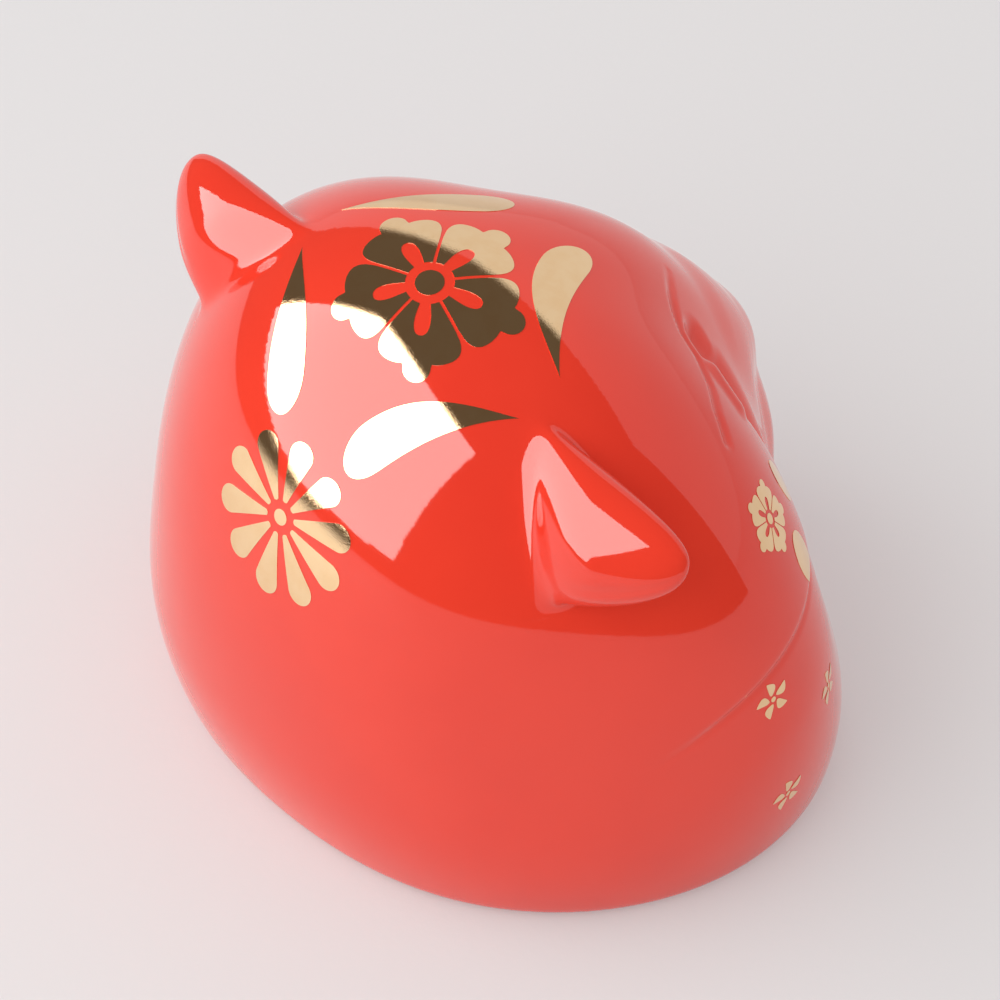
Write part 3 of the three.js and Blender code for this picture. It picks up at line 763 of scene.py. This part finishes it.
cheek = dict(place=(40.4, -8.5, 53.8), radius=5.2, turn=0.42,
             spots=(("upper", (34.4, -16.9, 49.9), 7.6, 4.4), ("lower", (42.2, -13.3, 44.3), 8.4, 5.4)))
sprig = dict(places=(("shoulder", (51, 0.4, 34.3)), ("front", (48.8, -12.2, 25.2)),
                     ("foot", (52.1, -1.8, 14.6))),
             petals=5, start=0.2, radius=2.9, inner=0.7, half=0.66, skew=0.85, fullness=0.75, bow=0.45,
             centre=0.4, columns=8, rows=20)


def sprigHalf(way):
    return sprig["half"] * np.sin(math.pi * way ** sprig["skew"]) ** sprig["fullness"]


for sideName, side in (("left", 1), ("right", -1)):
    place = placeOn(cheek["place"], (0, 0, 1), side)
    parts = [petal("cheekPetal", cheek["radius"], place,
                   2 * math.pi * i / blossom["petals"] - side * cheek["turn"])
             for i in range(blossom["petals"])]
    parts.append(disc("cheekCentre", blossom["centre"] * cheek["radius"], place))
    gild(joinAll(f"{sideName}CheekBlossom", parts), f"{sideName}_cheek_blossom")
    for spotName, position, length, width in cheek["spots"]:
        place = placeOn(position, (0, 0, 1), side)
        made = leaf(f"{sideName}{spotName.title()}Spot", -length / 2, length,
                    lambda way: width * np.sqrt(way * (1 - way)), place)
        gild(made, f"{sideName}_{spotName}_cheek_spot")
    for sprigName, position in sprig["places"]:
        place = placeOn(position, (0, 0, 1), side)
        parts = [leaf("sprigPetal", sprig["inner"], sprig["radius"] - sprig["inner"], sprigHalf, place,
                      2 * math.pi * (i + sprig["start"]) / sprig["petals"], side * sprig["bow"],
                      sprig["columns"], sprig["rows"]) for i in range(sprig["petals"])]
        parts.append(disc("sprigCentre", sprig["centre"], place))
        gild(joinAll(f"{sideName}{sprigName.title()}Sprig", parts), f"{sideName}_{sprigName}_sprig")
print("cheek and leg ornaments made")


# floor, studio and camera

shot = dict(azimuth=226.1, elevation=47.9, distance=737, aside=-0.24, lift=4.45, aimHeight=25, lens=198)
studio = dict(floor=(0.73, 0.715, 0.715, 1), floorSize=6, floorRoughness=0.7, toothScale=900, toothDepth=0.02,
              paper=(0.79, 0.77, 0.775, 1), paperGlow=0.33, tentRadius=0.42, tentSegments=480, tentRings=240,
              boardAzimuth=128, boardRise=1.47, boardEdge=78, boardWrap=-140, boardFacing=0.1,
              boxAzimuth=-68.2, boxElevation=45.6, boxGlow=6.1, boxColour=(1, 0.97, 0.95, 1), boxFacing=0.12,
              flag=(0.12, 0.10, 0.08, 1),
              boxCorners=((0.72, 0.41), (0.71, -0.83), (-0.1, -0.9), (-1.37, -0.31), (-0.42, 0.42)),
              lampDistance=1.1, lampSize=(1.5, 1.0), lampPower=7.6, fill=0.72, backdrop=0.78,
              room=(1, 0.99, 0.985, 1))


def direction(azimuth, elevation):
    a, e = math.radians(azimuth), math.radians(elevation)
    return np.array((math.sin(a) * math.cos(e), -math.cos(a) * math.cos(e), math.sin(e)))


def flatLook(name, colour, strength):
    material, start = newMaterial(name)
    surface(start, start.node("ShaderNodeEmission", Color=colour, Strength=strength))
    return material


def seenDirectly(start):
    seen = [start.node("ShaderNodeLightPath", out=name) for name in
            ("Is Camera Ray", "Is Glossy Ray", "Is Transmission Ray")]
    return start.math("MINIMUM", seen[0] + seen[1] + seen[2], 1.0)


deselectAll()
bpy.ops.mesh.primitive_plane_add(size=studio["floorSize"])
floor = bpy.context.object
floor.name = "paleFloor"
floorLook, start = newMaterial("palePaper")
coords = start.node("ShaderNodeTexCoord", out=3)
tooth = noise(start, coords, studio["toothScale"], 3)
matt = start.node("ShaderNodeBsdfPrincipled", Base_Color=studio["floor"], Roughness=studio["floorRoughness"],
                  Normal=bump(start, tooth * studio["toothDepth"]))
even = start.node("ShaderNodeEmission", Color=studio["paper"], Strength=1.0)
surface(start, start.node("ShaderNodeMixShader", i0=seenDirectly(start) * studio["paperGlow"],
                          i1=matt, i2=even))
floor.data.materials.append(floorLook)

deselectAll()
bpy.ops.mesh.primitive_uv_sphere_add(segments=studio["tentSegments"], ring_count=studio["tentRings"],
                                     radius=studio["tentRadius"])
tent = bpy.context.object
tent.name = "studioTent"
tent.data.materials.append(flatLook("blackFlag", studio["flag"], 1))
tent.data.materials.append(flatLook("softboxCloth", studio["boxColour"], studio["boxGlow"]))
boxAim = direction(shot["azimuth"] + studio["boxAzimuth"], studio["boxElevation"])
boxAcross = unit(np.cross(boxAim, (0, 0, 1)))
boxUp = np.cross(boxAcross, boxAim)
if boxAcross @ direction(shot["azimuth"], 0) < 0:
    boxAcross = -boxAcross
way = unit(faceCentres(tent))
relative = np.degrees(np.arctan2(way[:, 0], -way[:, 1])) - shot["azimuth"]
relative = (relative + 180) % 360 - 180
slope = way[:, 2] / np.hypot(way[:, 0], way[:, 1])
facing = np.cos(np.radians(relative - studio["boardAzimuth"]))
rightOfEdge = (relative > studio["boardEdge"]) | (relative < studio["boardWrap"])
isBoard = rightOfEdge & (facing > studio["boardFacing"]) & (slope < studio["boardRise"] * facing)
near = way @ boxAim
isBox = near > studio["boxFacing"]
near = np.maximum(near, studio["boxFacing"])
across, rise = way @ boxAcross / near, way @ boxUp / near
corners = studio["boxCorners"]
for (x0, y0), (x1, y1) in zip(corners, corners[1:] + corners[:1]):
    isBox &= (x1 - x0) * (rise - y0) < (y1 - y0) * (across - x0)
tent.data.polygons.foreach_set("material_index", (isBox & ~isBoard).astype(np.int32))
inFaces(tent, isBoard | (way[:, 2] < 0), lambda: bpy.ops.mesh.delete(type="FACE"))
for ray in ("camera", "diffuse", "transmission", "shadow", "volume_scatter"):
    setattr(tent, "visible_" + ray, False)

lampData = bpy.data.lights.new("softbox", "AREA")
lampData.shape = "RECTANGLE"
lampData.size, lampData.size_y = studio["lampSize"]
lampData.energy = studio["lampPower"]
lamp = bpy.data.objects.new("softbox", lampData)
bpy.context.scene.collection.objects.link(lamp)
lamp.location = boxAim * studio["lampDistance"]
lamp.rotation_euler = (math.radians(90 - studio["boxElevation"]), 0,
                       math.radians(shot["azimuth"] + studio["boxAzimuth"]))
lamp.visible_glossy = False
lamp.visible_camera = False

world = bpy.data.worlds.new("studioRoom")
bpy.context.scene.world = world
world.use_nodes = True
world.node_tree.nodes.clear()
start = Strand(world.node_tree)
light = start.node("ShaderNodeBackground", Color=studio["room"],
                   Strength=seenDirectly(start) * (studio["backdrop"] - studio["fill"]) + studio["fill"])
start.node("ShaderNodeOutputWorld", Surface=light)

cameraData = bpy.data.cameras.new("photoCamera")
cameraData.sensor_width = 36
cameraData.lens = shot["lens"]
cameraData.clip_start = 0.01
camera = bpy.data.objects.new("photoCamera", cameraData)
bpy.context.scene.collection.objects.link(camera)
turn, tilt = math.radians(shot["azimuth"]), math.radians(shot["elevation"])
back = direction(shot["azimuth"], shot["elevation"])
right = np.array((math.cos(turn), math.sin(turn), 0))
up = np.cross(back, right)
aim = np.array((0, 0, shot["aimHeight"])) + right * shot["aside"] + up * shot["lift"]
camera.location = toFrame(aim + back * shot["distance"])
camera.rotation_euler = (math.pi / 2 - tilt, 0, turn)
bpy.context.scene.camera = camera
print("studio and camera set")
